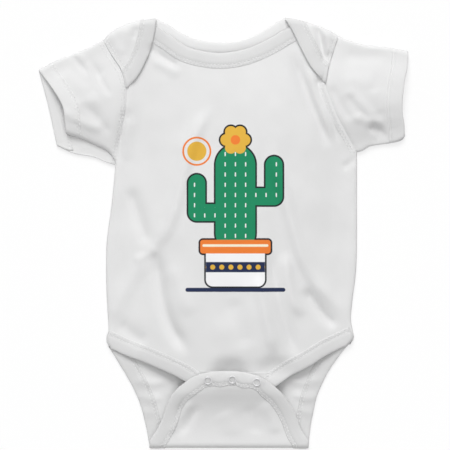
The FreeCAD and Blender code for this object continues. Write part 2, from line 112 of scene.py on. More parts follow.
# The lay, the same smooth hump that the part's front is cut from
CROWN = 20.0
SLEEVE_CROWN = 9.0
LAY_FLOOR = 0.4
LAY_MARGIN = 4.0
side_rows = [-0.28, 0.0, 0.158]
left_rows = [-0.464, -0.468, -0.432]
right_rows = [0.516, 0.532, 0.534]
left_sleeve_lay = [(0.4545, 0.304, 0.143), (0.7045, 0.295, 0.092)]
right_sleeve_lay = [(0.491, 0.3105, 0.137), (0.741, 0.320, 0.1026)]
SLEEVE_START = 0.27
SLEEVE_BLEND = 0.14
END_POWER = 3
SIDE_POWER = 1.5
MERGE_POWER = 3

# The crotch fold
FOLD_Y = -185.719
FOLD_Z = 4.281
BACK_LEVEL = 1.3
ROLL = FOLD_Z - BACK_LEVEL
ROLL_Y = FOLD_Y - 0.7
ARC = math.pi * ROLL

# Cloth, and the steps at which it is cut and its edges are drawn
CLOTH = 1.0
STEP = 2.4
LAP_STEP = 2.0
SLEEVE_STEP = 2.2
EDGE_STEP = 1.8
COARSE_STEP = 4.0
STRAIGHT_POINTS = 50
CURVE_POINTS = 40
RINGS = (0.5, 1.3, 2.5)
RING_CLEAR = 0.9
GRID_CLEAR = 0.45
RIM_SHARE = 0.4
BEYOND = 7.0
WELD = 1e-6

# How it lies: its sides, the front, the shoulder laps and the flap
SIDE_HEIGHT = 1.7
SIDE_ROUND = 3.4
LAP_ROUND = 5.0
LOWEST_FRONT = 3.3
LEAST_FRONT = 2.5
SOFT_STOP = 0.5
SEAM_LIFT = 0.55
LAP_LIFT = 2.6
LAP_CLEAR = 9.0
FLAP_LIFT = 6.1
FLAP_SAG = 45.0
FLAP_DROOP = 1.6
DROOP_REACH = 5.0
FOLD_FLAT = 12.0
LEAST_START = 0.12
SNAP_HOLD = 6.5
SNAP_PAD = 0.2
SNAP_POWER = 4


def eased(share):
    """The share from 0 to 1, level at both ends."""
    share = np.clip(share, 0, 1)
    return share * share * (3 - 2 * share)


def bump(offset, half):
    return np.maximum(0, 1 - (offset / half) ** 2) ** SIDE_POWER


def lay(x, y):
    """Height of the underside of the front cloth above the floor."""
    row = y / LENGTH
    left = np.interp(row, side_rows, left_rows) * WIDTH
    right = np.interp(row, side_rows, right_rows) * WIDTH
    half = (right - left) / 2 + LAY_MARGIN
    along = np.maximum(0, 1 - np.abs(2 * row) ** END_POWER)
    humps = [CROWN * along * bump(x - (left + right) / 2, half)]
    for sign, table in ((-1, left_sleeve_lay), (1, right_sleeve_lay)):
        column = sign * x / WIDTH
        places, centres, reaches = zip(*table)
        centre = np.interp(column, places, centres) * LENGTH
        reach = np.interp(column, places, reaches) * LENGTH
        grown = np.clip((column - SLEEVE_START) / SLEEVE_BLEND, 0, 1)
        humps.append(SLEEVE_CROWN * grown * bump(y - centre, reach + LAY_MARGIN))
    return LAY_FLOOR + sum(hump ** MERGE_POWER for hump in humps) ** (1 / MERGE_POWER)


def chain(shares):
    return np.array(shares) * (WIDTH, LENGTH)


def travelled(line):
    """How far along a line each of its points is."""
    return np.concatenate([[0], np.cumsum(np.linalg.norm(np.diff(line, axis=0), axis=1))])


def sampled(line, lengths, marks):
    """What a line's points give at marks along it."""
    return np.column_stack([np.interp(marks, lengths, line[:, axis]) for axis in (0, 1)])


def run(points, step=EDGE_STEP):
    """A smooth line through the points, as points a step apart."""
    points = np.asarray(points, float)
    if len(points) == 2:
        dense = np.linspace(points[0], points[1], STRAIGHT_POINTS)
    else:
        padded = np.vstack([2 * points[0] - points[1], points, 2 * points[-1] - points[-2]])
        t = np.linspace(0, 1, CURVE_POINTS, endpoint=False)[:, None]
        parts = [0.5 * (2 * b + (c - a) * t + (2 * a - 5 * b + 4 * c - d) * t ** 2
                        + (3 * b - a - 3 * c + d) * t ** 3)
                 for a, b, c, d in zip(padded, padded[1:], padded[2:], padded[3:])]
        dense = np.vstack(parts + [points[-1:]])
    lengths = travelled(dense)
    count = max(2, int(round(lengths[-1] / step)) + 1)
    return sampled(dense, lengths, np.linspace(0, lengths[-1], count))


def loop_of(*chains):
    """Chains joined end to end, straight across where they don't meet."""
    rows = []
    for points, following in zip(chains, chains[1:] + chains[:1]):
        rows.append(run(points)[:-1])
        gap = np.linalg.norm(np.asarray(following[0]) - points[-1])
        if gap > EDGE_STEP / 2:
            rows.append(run([points[-1], following[0]])[:-1])
    loop = np.vstack(rows)
    turned = np.roll(loop, -1, axis=0)
    if np.sum(loop[:, 0] * turned[:, 1] - turned[:, 0] * loop[:, 1]) < 0:
        loop = loop[::-1]
    return loop


def distance(points, line):
    """Each point's distance from a line, and how far along the line it is, from 0 to 1."""
    points = np.asarray(points, float)
    line = np.asarray(line, float)
    best = np.full(len(points), np.inf)
    place = np.zeros(len(points))
    lengths = travelled(line)
    for index, (a, b) in enumerate(zip(line, line[1:])):
        along = b - a
        size = along @ along
        t = np.clip(((points - a) @ along) / size, 0, 1)
        away = np.linalg.norm(points - (a + t[:, None] * along), axis=1)
        nearer = away < best
        best[nearer] = away[nearer]
        place[nearer] = (lengths[index] + t[nearer] * math.sqrt(size)) / lengths[-1]
    return best, place


def inside(points, loop):
    x, y = points[:, 0], points[:, 1]
    within = np.zeros(len(points), bool)
    for (ax, ay), (bx, by) in zip(loop, np.roll(loop, -1, axis=0)):
        if ay == by:
            continue
        crosses = ((ay > y) != (by > y)) & (x < (bx - ax) * (y - ay) / (by - ay) + ax)
        within ^= crosses
    return within


def cut_flat(loop, step=STEP):
    """A flat piece cut to an outline: its points and its triangles."""
    low, high = loop.min(0), loop.max(0)
    rise = step * math.sqrt(3) / 2
    grid = []
    for row, y in enumerate(np.arange(low[1], high[1], rise)):
        shift = step / 2 if row % 2 else 0
        columns = np.arange(low[0] + shift, high[0], step)
        grid.append(np.column_stack([columns, np.full(len(columns), y)]))
    grid = np.vstack(grid)
    grid = grid[inside(grid, loop)]
    closed = np.vstack([loop, loop[:1]])
    away, _ = distance(grid, closed)
    rows = [loop, grid[away > RINGS[-1] + step * GRID_CLEAR]]
    left = headings(np.vstack([loop[-1:], closed]))[1:-1]
    for reach in RINGS:
        ring = loop + left * reach
        away, _ = distance(ring, closed)
        rows.append(ring[inside(ring, loop) & (away > reach * RING_CLEAR)])
    points = np.vstack(rows)
    border = list(range(len(loop)))
    edges = [(i, (i + 1) % len(loop)) for i in border]
    found = geometry.delaunay_2d_cdt([Vector(point) for point in points], edges, [border], 1,
                                     WELD)
    return np.array([tuple(v) for v in found[0]]), [tuple(f) for f in found[2]]


def smooth(mesh):
    for polygon in mesh.polygons:
        polygon.use_smooth = True


def make_piece(name, corners, faces, material, flow=None):
    """A mesh piece from points in millimetres, with its origin at the frame's."""
    mesh = bpy.data.meshes.new(name)
    mesh.from_pydata([tuple(corner) for corner in np.asarray(corners) * MM], [], faces)
    mesh.update()
    piece = bpy.data.objects.new(name, mesh)
    bpy.context.scene.collection.objects.link(piece)
    smooth(mesh)
    if flow is not None:
        layer = mesh.uv_layers.new(name="run")
        for spot in mesh.loops:
            layer.data[spot.index].uv = flow[spot.vertex_index]
    mesh.materials.append(material)
    return piece


def border_edges(faces):
    seen = {}
    for face in faces:
        for edge in zip(face, face[1:] + face[:1]):
            seen[edge] = True
    return [(a, b) for a, b in seen if (b, a) not in seen]


def facing_of(corners, faces):
    """Which way each point of a mesh faces."""
    triangles = np.array(faces)
    a, b, c = (corners[triangles[:, i]] for i in range(3))
    push = np.cross(b - a, c - a)
    facing = np.zeros_like(corners)
    for i in range(3):
        np.add.at(facing, triangles[:, i], push)
    return facing / np.linalg.norm(facing, axis=1)[:, None]


def thick(flat, faces, form, thickness):
    """Both sides of a cloth and its rounded rim; form places the middle of the cloth."""
    middle = form(flat, 0.0)
    facing = facing_of(middle, faces)
    count = len(flat)
    rim = border_edges(faces)
    rim_points = sorted({a for a, _ in rim})
    place = {point: 2 * count + index for index, point in enumerate(rim_points)}
    outward = np.zeros((count, 3))
    for a, b in rim:
        along = middle[b] - middle[a]
        for point in (a, b):
            outward[point] += np.cross(along, facing[point])
    size = np.linalg.norm(outward, axis=1)
    outward[size > 0] /= size[size > 0][:, None]
    pushed = middle + outward * thickness * RIM_SHARE * np.abs(facing[:, 2:3])
    corners = np.vstack([middle + facing * thickness / 2, middle - facing * thickness / 2,
                         pushed[rim_points]])
    skin = [tuple(face) for face in faces]
    skin += [tuple(count + i for i in face[::-1]) for face in faces]
    for a, b in rim:
        skin.append((b, a, place[a], place[b]))
        skin.append((place[b], place[a], count + a, count + b))
    return corners, skin


def coarse(*tables):
    return [run(chain(table), COARSE_STEP) for table in tables]


# Folded edges of the whole garment, where the cloth turns under, then seams and open edges
folded = coarse(left_side_shares, right_side_shares, left_sleeve_top_shares, left_under_shares,
                right_sleeve_top_shares, right_under_shares, left_shoulder_shares,
                right_shoulder_shares)
sleeve_fold = coarse(left_front_under_shares)
armholes = coarse(left_armhole_shares, right_armhole_shares)
back_edges = coarse(back_leg_left_shares, back_leg_right_shares)


def nearest(points, lines):
    return np.min([distance(points, line)[0] for line in lines], axis=0)


def turn_under(points, lines=folded, wide=SIDE_ROUND):
    """0 on a folded edge, rising round to 1 just inside it."""
    share = np.clip(nearest(points, lines) / wide, 0, 1)
    return np.sqrt(1 - (1 - share) ** 2)


# Creases and ridges of the laid-out cloth: line, height and half width
creases = [
    ([(-7.5, 116.7), (-23.4, 90.2), (-32.3, 63.6), (-38.5, 38.0),
      (-46.4, 11.5), (-57.0, -8.0), (-69.4, -21.2)], 3.2, 5.5),
    ([(-65.0, -16.8), (-78.2, -37.1), (-89.7, -57.5), (-96.8, -82.2)], 1.9, 7.0),
    ([(-83.5, 41.5), (-72.9, 8.0), (-65.0, -12.4)], -2.3, 6.0),
    ([(-80.0, -25.6), (-69.4, -20.3), (-57.9, -12.4)], 1.2, 3.5),
    ([(-60.0, -12.0), (-57.9, -30.6), (-54.2, -57.5), (-45.4, -84.0), (-28.1, -109.3)], -4.2, 6.0),
    ([(-47.3, -25.6), (-38.5, -50.4), (-27.8, -75.1)], 1.3, 7.0),
    ([(-93.3, -78.7), (-80.0, -90.2), (-66.7, -98.1)], -1.6, 6.0),
    ([(39.3, 82.2), (50.8, 44.2), (64.1, -5.3), (73.8, -30.9),
      (87.1, -51.3), (110.1, -76.9)], 3.6, 5.5),
    ([(53.5, -15.0), (60.6, -57.5), (72.0, -75.1)], 2.4, 4.5),
    ([(70.3, -46.9), (83.5, -67.2), (101.2, -84.9)], -3.2, 4.5),
    ([(58.8, 161.8), (70.3, 131.7), (81.8, 103.4), (95.0, 73.4)], -3.0, 6.0),
    ([(72.9, 151.2), (80.0, 128.2), (89.7, 103.4), (100.3, 76.9)], 2.4, 4.0),
    ([(80.9, 142.3), (86.2, 121.1), (94.1, 101.7), (103.0, 76.9)], -2.8, 3.2),
    ([(28.7, -34.5), (37.6, -73.4), (45.5, -110.5)], 2.8, 5.0),
    ([(40.0, -14.0), (45.5, -45.0), (52.0, -72.0), (59.0, -94.0),
      (66.5, -111.0)], -2.7, 4.6),
    ([(7.5, -55.7), (14.6, -78.7), (19.9, -103.4)], -1.3, 8.0),
    ([(104.3, 56.2), (114.5, 63.6), (120.9, 68.2)], -1.4, 3.0),
    ([(-67.6, 167.1), (-57.0, 157.4), (-38.5, 145.9)], -2.4, 3.4),
    ([(-63.2, 152.9), (-52.6, 147.6), (-36.7, 138.8)], 1.2, 4.0),
    ([(-142.8, 165.3), (-130.4, 152.9), (-118.0, 137.9)], -1.3, 2.6),
    ([(-135.7, 165.3), (-124.2, 152.9), (-112.7, 139.7)], 1.0, 3.0),
    ([(-118.0, 151.2), (-109.2, 137.0), (-98.6, 119.3)], -1.2, 3.0),
    ([(-144.5, 110.5), (-126.9, 99.0), (-105.6, 90.2)], 1.4, 4.0),
    ([(-126.9, 115.8), (-112.7, 103.4), (-98.6, 85.7)], -1.0, 4.0),
    ([(106.5, 129.9), (120.7, 114.9), (136.6, 98.1)], 1.2, 4.0),
    ([(94.1, 131.7), (103.0, 114.0), (113.6, 98.1)], -1.2, 4.0),
    ([(-85.3, 113.2), (-89.7, 93.7), (-92.4, 76.9), (-94.1, 60.1)], -2.0, 4.0),
    ([(-80.0, 104.3), (-83.5, 84.0), (-86.2, 61.9)], 1.2, 5.0),
    ([(81.5, 188.5), (86.2, 168.2), (89.8, 146.9)], -3.6, 3.4),
    ([(90.5, 184.9), (94.1, 155.8)], 1.8, 4.0),
    ([(-83.5, 181.2), (-88.0, 167.1), (-90.6, 156.5)], 0.9, 5.0),
    ([(-76.5, 183.0), (-80.0, 170.6)], -1.0, 3.0),
    ([(-144.5, 142.3), (-131.3, 133.5), (-119.8, 121.1)], 0.8, 6.0),
    ([(-125.3, 153.8), (-116.2, 146.7), (-103.3, 138.6)], -1.0, 5.0),
    ([(-109.2, 121.1), (-122.4, 113.2), (-135.7, 107.0)], 1.0, 6.0),
    ([(-105.6, 99.9), (-117.1, 106.1), (-126.9, 116.7)], -0.7, 7.0),
    ([(104.3, 158.2), (122.4, 154.7), (145.9, 158.0)], -1.0, 6.0),
    ([(102.5, 131.7), (117.1, 135.3), (133.5, 131.7)], 1.0, 7.0),
    ([(133.0, 128.4), (140.1, 105.0)], 0.8, 7.0),
    ([(108.8, 124.1), (119.7, 108.0), (128.0, 94.4)], -1.1, 6.0),
    ([(127.3, 95.7), (135.3, 92.2), (139.8, 84.0), (133.8, 76.6)], -4.4, 3.6),
    ([(112.7, 103.7), (127.5, 99.0), (143.2, 96.1)], 1.8, 4.0),
    ([(84.4, 137.9), (87.1, 131.7)], -2.0, 2.6),
]
CREASE_TAPER = 4.4
HOLLOW_POWER = 1.5


def crease_height(points, table):
    height = np.zeros(len(points))
    for line, tall, wide in table:
        away, place = distance(points, run(line, COARSE_STEP))
        taper = eased(np.minimum(place, 1 - place) * CREASE_TAPER)
        height += tall * taper * np.exp(-(away / wide) ** 2)
    return height


def hollow_depth(points, table):
    """Hollows, each with a wall of its own steepness above and below the middle."""
    height = np.zeros(len(points))
    for x, y, wide, above, below, deep in table:
        across = (points[:, 0] - x) / wide
        up = points[:, 1] - y
        down = up / np.where(up > 0, above, below)
        height -= deep * np.exp(-(across ** 2 + down ** 2) ** HOLLOW_POWER)
    return height


# Hollows above the flap and in it: middle, half width, reach above and below, depth
front_hollows = [(5.8, -124.0, 15.5, 12.5, 14.0, 5.0), (46.0, -120.0, 15.0, 9.5, 9.0, 3.4),
                 (-4.0, -64.0, 16.0, 26.0, 20.0, 1.4)]
flap_hollows = [(9.0, -141.0, 27.0, 2.8, 24.0, 1.2), (-38.0, -160.0, 5.0, 10.0, 16.0, 0.8)]

# The cloth's unevenness: its height, then each wave's spans, place in the noise and share
UNEVEN = 1.1
UNEVEN_WAVES = [(38, 46, 2.5, 1.0), (15, 19, 7.5, 0.5)]
SEAM_DIP = 0.9
SEAM_WIDE = 1.6


def folds(points):
    """What the creases add to the cloth's height, with a little unevenness."""
    rough = [sum(share * noise.noise(Vector((x / wide, y / high, place)))
                 for wide, high, place, share in UNEVEN_WAVES) for x, y in points]
    shaped = crease_height(points, creases) + hollow_depth(points, front_hollows)
    return shaped + UNEVEN * np.array(rough)


def seam_dip(points):
    """The cloth pulls down a little along the armhole seams."""
    return -SEAM_DIP * np.exp(-(nearest(points, armholes) / SEAM_WIDE) ** 2)


def rested(points):
    """Middle of a cloth that rests on the lay."""
    over = lay(points[:, 0], points[:, 1]) + CLOTH / 2
    return LOWEST_FRONT + np.logaddexp(0, over - LOWEST_FRONT)


def rounded_down(height, share):
    """A height brought down to the sides', where the cloth turns under."""
    return SIDE_HEIGHT + (height - SIDE_HEIGHT) * share


def upper_level(points):
    """Middle of the upper cloth: over the lay, round at the folded edges."""
    share = turn_under(points, folded + sleeve_fold)
    dressed = rested(points) + (folds(points) + seam_dip(points)) * share
    dressed = LEAST_FRONT + SOFT_STOP * np.logaddexp(0, (dressed - LEAST_FRONT) / SOFT_STOP)
    return rounded_down(dressed, share)


def lap_level(points):
    """Middle of the shoulder laps, clear of the front and down to it at the armhole."""
    lift = SEAM_LIFT + (LAP_LIFT - SEAM_LIFT) * eased(nearest(points, armholes) / LAP_CLEAR)
    share = turn_under(points, folded, LAP_ROUND)
    return rounded_down(rested(points) + folds(points) * share + lift, share)


# Small crumples of the back beside the flap
back_creases = [
    ([(-80.0, -128.0), (-64.0, -133.0), (-48.0, -129.0)], 1.2, 3.8),
    ([(-76.0, -142.0), (-64.0, -147.0), (-52.0, -145.0)], 0.9, 3.4),
    ([(-73.0, -157.0), (-62.0, -161.0)], 0.6, 3.4),
    ([(54.0, -127.0), (70.0, -132.0), (88.0, -128.0)], 1.3, 3.8),
    ([(60.0, -141.0), (72.0, -146.0), (84.0, -143.0)], 1.1, 3.4),
    ([(66.0, -156.0), (80.0, -160.0)], 0.7, 3.4),
]

# How far the back is raised at places across it, and where: from the fold up to under the
# front, and in from its edges
BACK_RISES = ((-60.0, 80.0), (0.30, 0.10))
RISE_START = 6.0
RISE_GROWS = 28.0
RISE_END = -70.0
RISE_FADES = 45.0
RISE_INSET = 16.0
SLOPE_REACH = 0.4


def back_level(points):
    """Middle of the back: flat on the floor, lifted a little beside the flap."""
    x, y = points[:, 0], points[:, 1]
    lifted = eased((y - FOLD_Y - RISE_START) / RISE_GROWS) * eased((RISE_END - y) / RISE_FADES)
    away = eased(nearest(points, back_edges) / RISE_INSET)
    rise = np.interp(x, *BACK_RISES) * lay(x, y) * lifted * away
    return rounded_down(BACK_LEVEL + (rise + crease_height(points, back_creases)),
                        turn_under(points))


def slopes(level, points):
    """Which way the cloth faces at each point, for its thickness."""
    east = level(points + (SLOPE_REACH, 0)) - level(points - (SLOPE_REACH, 0))
    north = level(points + (0, SLOPE_REACH)) - level(points - (0, SLOPE_REACH))
    facing = np.stack([-east, -north, np.full(len(points), 2 * SLOPE_REACH)], axis=1)
    return facing / np.linalg.norm(facing, axis=1)[:, None]


def over_form(level):
    """How a flat piece that lies at a level is placed, at a height off its middle."""
    known = {}

    def form(points, off):
        points = np.asarray(points, float)
        key = points.tobytes()
        if known.get("key") != key:
            known["key"] = key
            known["middle"] = np.column_stack([points, level(points)])
            known["facing"] = slopes(level, points)
        return known["middle"] + known["facing"] * off
    return form


snap_points = chain(snap_shares)
flap_edge = run(chain(flap_edge_shares))
flap_creases = [
    ([(-25.6, -145.3), (-39.2, -163.5), (-49.1, -181.5)], 1.3, 3.2),
    ([(-20.4, -150.5), (-31.3, -167.8), (-39.3, -183.0)], -1.2, 3.4),
    ([(34.0, -147.6), (42.9, -163.5), (46.4, -179.5)], 1.2, 5.0),
    ([(-1.3, -156.5), (5.7, -170.6), (5.7, -183.0)], 0.9, 8.0),
    ([(19.9, -151.2), (27.0, -165.3), (28.7, -181.2)], -0.9, 6.0),
]


def near_snaps(points, spots, reach):
    """1 at a snap, falling to 0 around it."""
    gap = np.min([np.linalg.norm(points - spot, axis=1) for spot in spots], axis=0)
    return np.exp(-(gap / reach) ** SNAP_POWER)


def flap_level(points):
    """Middle of the flap's cloth: high at the snaps, drooping towards its edge."""
    points = np.asarray(points, float)
    over = lay(points[:, 0], points[:, 1]) + FLAP_LIFT
    away, _ = distance(points, flap_edge)
    droop = FLAP_DROOP * np.exp(-(away / DROOP_REACH) ** 2)
    raised = near_snaps(points, snap_points, SNAP_HOLD)
    rise = np.clip((points[:, 1] - ROLL_Y) / FLAP_SAG, 0, 1)
    start = rise * rise * (1.5 - rise / 2)
    near_fold = eased((points[:, 1] - ROLL_Y) / FOLD_FLAT)
    shaped = crease_height(points, flap_creases) + hollow_depth(points, flap_hollows)
    free = over - droop * start * (1 - raised) + SNAP_PAD * raised
    free += shaped * near_fold * (1 - raised) / np.maximum(start, LEAST_START)
    return (FOLD_Z + ROLL) * (1 - start) + free * start


back_form = over_form(back_level)
flap_form = over_form(flap_level)


def pattern_form(points, off):
    """The back's cloth from its flat pattern: along the back, round the fold, up the flap."""
    points = np.asarray(points, float)
    x, v = points[:, 0], points[:, 1]
    placed = np.zeros((len(points), 3))
    on_back = v >= ROLL_Y
    on_flap = v < ROLL_Y - ARC
    on_roll = ~on_back & ~on_flap
    if on_back.any():
        placed[on_back] = back_form(points[on_back], off)
    if on_roll.any():
        angle = (ROLL_Y - v[on_roll]) / ROLL
        placed[on_roll] = np.column_stack([x[on_roll],
                                           ROLL_Y - (ROLL - off) * np.sin(angle),
                                           FOLD_Z - (ROLL - off) * np.cos(angle)])
    if on_flap.any():
        placed[on_flap] = flap_form(to_pattern(points[on_flap]), -off)
    return placed


def to_pattern(points):
    """A point of the flap where it lies on the back's flat pattern, or the way back."""
    points = np.asarray(points, float)
    return np.column_stack([points[:, 0], 2 * ROLL_Y - ARC - points[:, 1]])


# Bands: bound edges and hems, as a profile drawn along an edge
bound_profile = [(-0.8, 0.1), (-0.6, 0.6), (0.1, 1.0), (1.6, 1.25), (4.0, 1.3), (7.0, 1.2),
                 (9.5, 1.05), (10.1, 0.70), (10.7, 0.98), (11.7, 0.98), (12.3, 0.66),
                 (12.9, 0.85), (13.4, 0.6), (13.6, 0.1)]
hem_profile = [(-0.6, 0.1), (-0.4, 0.55), (0.3, 0.85), (2.0, 0.95), (6.0, 0.95), (9.6, 0.9),
               (10.2, 0.72), (10.8, 0.8), (11.7, 0.8), (12.3, 0.66), (12.8, 0.68),
               (13.1, 0.1)]
grooved_profile = [(-0.6, 0.1), (-0.4, 0.55), (0.3, 0.95), (2.0, 1.05), (6.0, 1.1),
                   (9.6, 1.15), (11.4, 1.15), (11.9, 0.6), (12.8, 0.5), (13.3, 1.0),
                   (13.9, 0.9), (14.3, 0.1)]
BAND_UNDER = 0.55
UNDER_SKIP = 3
DRAWN_IN = 0.16
DRAWN_REACH = 9.5
FINE_STEP = 0.25
LEAST_SIDE = 0.4

# Puckers along the stitching, and slow waves of a band's edge and face
PUCKER = 0.16
HEM_PUCKER = 0.34
PUCKER_ROW = 10.5
PUCKER_REACH = 3.0
RIPPLE_SPANS = (2.6, 5.0)
RIPPLE_PLACE = 1.7
WAVE_SPAN = 11.0
WAVE_PLACE = (3.3, 0.4)
EDGE_WAVE = 0.25
EDGE_ROWS = 2.0
INNER_WAVE = 0.4
FACE_WAVE = 0.12

# Stitches: rows, and each dash's height and girth from end to end
STITCH_ROWS = (10.0, 12.3)
STITCH_LENGTH = 2.3
STITCH_PITCH = 3.1
THREAD = 0.26
THREAD_SIDES = 6
DASH_RISES = (-0.22, 0.02, 0.08, 0.02, -0.22)
DASH_GIRTHS = (0.45, 1.0, 1.05, 1.0, 0.45)
HEADING_PASSES = 3


def headings(path):
    """The leftward direction at each point of a path, evened out."""
    along = np.gradient(path, axis=0)
    for _ in range(HEADING_PASSES):
        inner = (along[:-2] + 2 * along[1:-1] + along[2:]) / 4
        along = np.vstack([along[:1], inner, along[-1:]])
    along /= np.linalg.norm(along, axis=1)[:, None]
    return np.column_stack([-along[:, 1], along[:, 0]])


def stretched(path):
    """A path carried straight on past both ends."""
    first = path[0] - path[1]
    last = path[-1] - path[-2]
    start = path[0] + first / np.linalg.norm(first) * BEYOND
    end = path[-1] + last / np.linalg.norm(last) * BEYOND
    share = np.linspace(0, 1, int(BEYOND / EDGE_STEP), endpoint=False)[:, None]
    return np.vstack([start + (path[0] - start) * share, path,
                      (end + (path[-1] - end) * share)[::-1]])


def trimmed(line, side, left, clip):
    """Where along a path its offset line enters and leaves the cloth."""
    lengths = travelled(line)
    if clip is None:
        return lengths[0], lengths[-1]
    marks = np.arange(0, lengths[-1], FINE_STEP)
    fine = sampled(line + left * max(side, LEAST_SIDE), lengths, marks)
    held = np.flatnonzero(inside(fine, clip))
    return marks[held[0]], marks[held[-1]]


def place_each(form, flat, off):
    """A form applied with a height of its own for each point."""
    middle = form(flat, 0.0)
    return middle + (form(flat, 1.0) - middle) * off[:, None]


def width_share(path):
    """How wide a binding is along its path: the flap's is drawn in at the snaps."""
    return 1 - DRAWN_IN * near_snaps(path, to_pattern(snap_points), DRAWN_REACH)


def unevenness(marks, span, *place):
    return np.array([noise.noise(Vector((mark / span, *place))) for mark in marks])


def band(name, path, profile, form, material, both=False, clip=None, pucker=PUCKER):
    """A bound edge: the profile swept along a path, with the cloth to the path's left."""
    line = path if clip is None else stretched(path)
    left = headings(line)
    lengths = travelled(line)
    count = len(line)
    section = list(profile)
    if both:
        section += [(s, -t) for s, t in profile[::-1]]
    else:
        section += [(s, -BAND_UNDER) for s, _ in profile[::-UNDER_SKIP]]
    flat = []
    off = []
    flow = []
    for s, t in section:
        marks = np.linspace(*trimmed(line, s, left, clip), count)
        ripple = unevenness(marks, RIPPLE_SPANS[0], s / RIPPLE_SPANS[1], RIPPLE_PLACE)
        wave = unevenness(marks, WAVE_SPAN, *WAVE_PLACE)
        pull = pucker * math.exp(-((s - PUCKER_ROW) / PUCKER_REACH) ** 2)
        base = sampled(line, lengths, marks)
        side = EDGE_WAVE * wave * (1 if s < EDGE_ROWS else INNER_WAVE) + s * width_share(base)
        flat.append(base + sampled(left, lengths, marks) * side[:, None])
        off.append(t + math.copysign(1, t) * (pull * ripple + FACE_WAVE * wave))
        flow.append(np.column_stack([marks * MM, np.full(count, s * MM)]))
    corners = place_each(form, np.vstack(flat), np.concatenate(off))
    sides = len(section)
    faces = []
    for j in range(sides):
        following = (j + 1) % sides
        for i in range(count - 1):
            faces.append((j * count + i, j * count + i + 1, following * count + i + 1,
                          following * count + i))
    faces.append(tuple(j * count for j in range(sides)))
    faces.append(tuple(j * count + count - 1 for j in range(sides))[::-1])
    return make_piece(name, corners, faces, material, np.vstack(flow))


def stitches(name, runs, form, material):
    """Rows of short thread capsules; each run is a path, its offset, height and outline."""
    corners = []
    faces = []
    rings = len(DASH_RISES)
    turns = [math.tau * k / THREAD_SIDES for k in range(THREAD_SIDES)]
    for path, side, rise, clip in runs:
        whole = path if clip is None else stretched(path)
        left = headings(whole)
        start, end = trimmed(whole, abs(side), left * np.sign(side), clip)
        offset = whole + left * side * width_share(whole)[:, None]
        line = sampled(offset, travelled(whole), np.linspace(start, end, len(whole)))
        lengths = travelled(line)
        starts = np.arange(STITCH_PITCH / 3, lengths[-1] - STITCH_LENGTH, STITCH_PITCH)
        marks = (starts[:, None] + np.linspace(0, STITCH_LENGTH, rings)).ravel()
        flat = sampled(line, lengths, marks)
        heights = np.tile(DASH_RISES, len(starts)) * np.sign(rise) + rise
        middle = place_each(form, flat, heights).reshape(-1, rings, 3)
        facing = (form(flat, 1.0) - form(flat, 0.0)).reshape(-1, rings, 3)
        for dash, normals in zip(middle, facing):
            up = normals[rings // 2]
            along = dash[-1] - dash[0]
            along /= np.linalg.norm(along)
            across = np.cross(up, along)
            across /= np.linalg.norm(across)
            base = len(corners)
            for point, girth in zip(dash, DASH_GIRTHS):
                for turn in turns:
                    spoke = across * math.cos(turn) + up * math.sin(turn)
                    corners.append(point + spoke * THREAD * girth)
            for ring in range(rings - 1):
                a = base + ring * THREAD_SIDES
                for k in range(THREAD_SIDES):
                    n = (k + 1) % THREAD_SIDES
                    faces.append((a + k, a + k + THREAD_SIDES, a + n + THREAD_SIDES, a + n))
            last = base + (rings - 1) * THREAD_SIDES
            faces.append(tuple(range(base, base + THREAD_SIDES)))
            faces.append(tuple(reversed(range(last, last + THREAD_SIDES))))
    return make_piece(name, corners, faces, material)


# The Mix node's colour sockets, by their places
MIX_LOW = 6
MIX_HIGH = 7
MIX_OUT = 2


class Value:
    """A shader value; Python's own operators wire up the maths nodes."""

    tree = None

    def __init__(self, socket):
        self.socket = socket

    @classmethod
    def join(cls, target, wire):
        if isinstance(wire, Value):
            cls.tree.links.new(wire.socket, target)
        else:
            target.default_value = wire

    @classmethod
    def node(cls, kind, out=0, settings=None, **wires):
        """One output of a new node, from its settings and what its sockets are given."""
        made = cls.tree.nodes.new(kind)
        for key, setting in (settings or {}).items():
            setattr(made, key, setting)
        for key, wire in wires.items():
            cls.join(made.inputs[key], wire)
        return cls(made.outputs[out])

    @classmethod
    def maths(cls, operation, *terms):
        made = cls.tree.nodes.new("ShaderNodeMath")
        made.operation = operation
        for target, term in zip(made.inputs, terms):
            cls.join(target, term)
        return cls(made.outputs[0])

    def __add__(self, other):
        return self.maths("ADD", self, other)

    def __radd__(self, other):
        return self.maths("ADD", other, self)

    def __sub__(self, other):
        return self.maths("SUBTRACT", self, other)

    def __rsub__(self, other):
        return self.maths("SUBTRACT", other, self)

    def __mul__(self, other):
        return self.maths("MULTIPLY", self, other)

    def __rmul__(self, other):
        return self.maths("MULTIPLY", other, self)

    def __truediv__(self, other):
        return self.maths("DIVIDE", self, other)

    def __rtruediv__(self, other):
        return self.maths("DIVIDE", other, self)

    def __abs__(self):
        return self.maths("ABSOLUTE", self)

    def sine(self):
        return self.maths("SINE", self)

    def root(self):
        return self.maths("SQRT", self)

    def fraction(self):
        return self.maths("FRACT", self)

    def least(self, other):
        return self.maths("MINIMUM", self, other)

    def most(self, other):
        return self.maths("MAXIMUM", self, other)

    def limited(self):
        return self.most(0.0).least(1.0)

    def mixed(self, low, high):
        """A colour between two others, with this value as the share of the second."""
        made = self.tree.nodes.new("ShaderNodeMix")
        made.data_type = "RGBA"
        for key, wire in (("Factor", self), (MIX_LOW, low), (MIX_HIGH, high)):
            self.join(made.inputs[key], wire)
        return Value(made.outputs[MIX_OUT])


def grey(tone):
    return (tone, tone, tone, 1.0)


def new_material(name, roughness, metallic=0.0):
    material = bpy.data.materials.new(name)
    material.use_nodes = True
    Value.tree = material.node_tree
    surface = material.node_tree.nodes["Principled BSDF"]
    surface.inputs["Roughness"].default_value = roughness
    surface.inputs["Metallic"].default_value = metallic
    return material, surface


